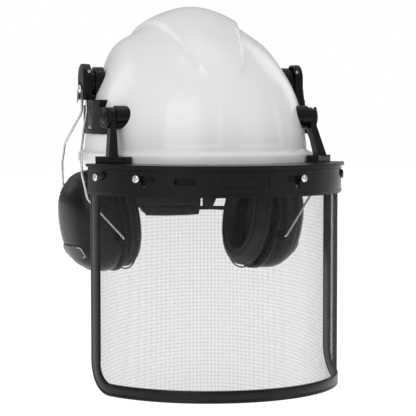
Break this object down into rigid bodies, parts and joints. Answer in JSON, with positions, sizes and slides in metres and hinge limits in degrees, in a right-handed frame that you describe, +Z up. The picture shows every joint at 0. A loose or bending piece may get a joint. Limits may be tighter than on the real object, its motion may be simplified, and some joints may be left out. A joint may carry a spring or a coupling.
{
  "type": "forestry helmet",
  "caption": "Hard hat with a hinged mesh face visor on a brow guard, swing-out ear cups on spring wires and a harness with a ratchet nape strap.",
  "frame": {"origin": "centre of the head opening, in the plane of the shell's lower rim", "axes": "+Z up out of the crown, the wearer faces -Y, and the wearer's left is +X"},
  "size_m": [0.2585, 0.32, 0.3672],
  "materials": {
    "shell_white": "glossy",
    "black_plastic": "satin",
    "visor_net": "matte",
    "trim_black": "satin",
    "steel": "polished",
    "wire_steel": "satin",
    "cup_charcoal": "satin",
    "badge_grey": "satin",
    "foam_dark": "matte",
    "cushion_vinyl": "soft satin",
    "harness_plastic": "satin",
    "webbing": "woven",
    "sweatband_soft": "matte"
  },
  "bodies": {
    "helmet": {"shell": "shell_white", "headband": "harness_plastic", "sweatband": "sweatband_soft", "nape_pad": "sweatband_soft", "crown_strap_long": "webbing", "crown_strap_cross": "webbing", "crown_pad": "sweatband_soft", "suspension_hooks": "harness_plastic", "ratchet_plate": "harness_plastic", "ratchet_housing": "harness_plastic", "carrier_left": "black_plastic", "carrier_right": "black_plastic", "pivot_pin_left": "steel", "pivot_pin_right": "steel", "ear_turn_pin_left": "steel", "ear_turn_pin_right": "steel"},
    "visor": {"brow_guard": "black_plastic", "visor_mesh": "visor_net", "visor_edge_trim": "trim_black", "visor_clamp_strip": "trim_black", "visor_screws": "steel", "visor_nuts": "steel", "visor_arm_left": "black_plastic", "visor_arm_right": "black_plastic", "pivot_cap_left": "black_plastic", "pivot_cap_right": "black_plastic"},
    "ear_pivot_left": {"ear_base_left": "black_plastic", "swing_pin_left": "steel"},
    "ear_arm_left": {"ear_housing_left": "black_plastic", "ear_screw_left": "steel"},
    "ear_fork_left": {"ear_wires_left": "wire_steel"},
    "ear_cup_left": {"cup_shell_left": "cup_charcoal", "cup_sockets_left": "black_plastic", "cup_foam_left": "foam_dark", "cup_plate_left": "cup_charcoal", "cup_cushion_left": "cushion_vinyl", "cup_badge_left": "badge_grey"},
    "ear_pivot_right": {"ear_base_right": "black_plastic", "swing_pin_right": "steel"},
    "ear_arm_right": {"ear_housing_right": "black_plastic", "ear_screw_right": "steel"},
    "ear_fork_right": {"ear_wires_right": "wire_steel"},
    "ear_cup_right": {"cup_shell_right": "cup_charcoal", "cup_sockets_right": "black_plastic", "cup_foam_right": "foam_dark", "cup_plate_right": "cup_charcoal", "cup_cushion_right": "cushion_vinyl", "cup_badge_right": "badge_grey"},
    "strap_left": {"nape_strap_left": "harness_plastic"},
    "strap_right": {"nape_strap_right": "harness_plastic"},
    "size_knob": {"ratchet_knob": "harness_plastic", "ratchet_pinion": "harness_plastic"}
  },
  "joints": [
    {"name": "visor_lift", "type": "hinge", "parent": "helmet", "child": "visor", "pos_m": [0, -0.063, 0.046], "axis": [-1, 0, 0], "range_deg": [0, 90]},
    {"name": "ear_turn_left", "type": "hinge", "parent": "helmet", "child": "ear_pivot_left", "pos_m": [0.1026, 0.013, 0.08], "axis": [1, 0, 0], "range_deg": [-5, 5]},
    {"name": "ear_swing_left", "type": "hinge", "parent": "ear_pivot_left", "child": "ear_arm_left", "pos_m": [0.1072, 0.013, 0.091], "axis": [0, -1, 0], "range_deg": [0, 30]},
    {"name": "ear_height_left", "type": "slide", "parent": "ear_arm_left", "child": "ear_fork_left", "axis": [0, 0, 1], "range_m": [-0.007, 0.004]},
    {"name": "cup_tilt_left", "type": "hinge", "parent": "ear_fork_left", "child": "ear_cup_left", "pos_m": [0.0808, 0.03702, -0.07398], "axis": [-0.2079, 0.9781, 0], "range_deg": [-6, 6]},
    {"name": "ear_turn_right", "type": "hinge", "parent": "helmet", "child": "ear_pivot_right", "pos_m": [-0.1026, 0.013, 0.08], "axis": [-1, 0, 0], "range_deg": [-5, 5]},
    {"name": "ear_swing_right", "type": "hinge", "parent": "ear_pivot_right", "child": "ear_arm_right", "pos_m": [-0.1072, 0.013, 0.091], "axis": [0, 1, 0], "range_deg": [0, 30]},
    {"name": "ear_height_right", "type": "slide", "parent": "ear_arm_right", "child": "ear_fork_right", "axis": [0, 0, 1], "range_m": [-0.007, 0.004]},
    {"name": "cup_tilt_right", "type": "hinge", "parent": "ear_fork_right", "child": "ear_cup_right", "pos_m": [-0.08876, 0.03281, -0.07298], "axis": [0.2419, -0.9703, 0], "range_deg": [-6, 6]},
    {"name": "ratchet_turn", "type": "hinge", "parent": "helmet", "child": "size_knob", "pos_m": [0, 0.104, -0.042], "axis": [0, 1, 0], "range_deg": [-90, 90]},
    {"name": "strap_slide_left", "type": "slide", "parent": "helmet", "child": "strap_left", "axis": [1, 0, 0], "range_m": [-0.0095, 0.0095]},
    {"name": "strap_slide_right", "type": "slide", "parent": "helmet", "child": "strap_right", "axis": [1, 0, 0], "range_m": [-0.0095, 0.0095]}
  ],
  "couplings": [
    {"joint": "strap_slide_left", "follows": "ratchet_turn", "m_per_rad": -0.006},
    {"joint": "strap_slide_right", "follows": "ratchet_turn", "m_per_rad": 0.006}
  ]
}
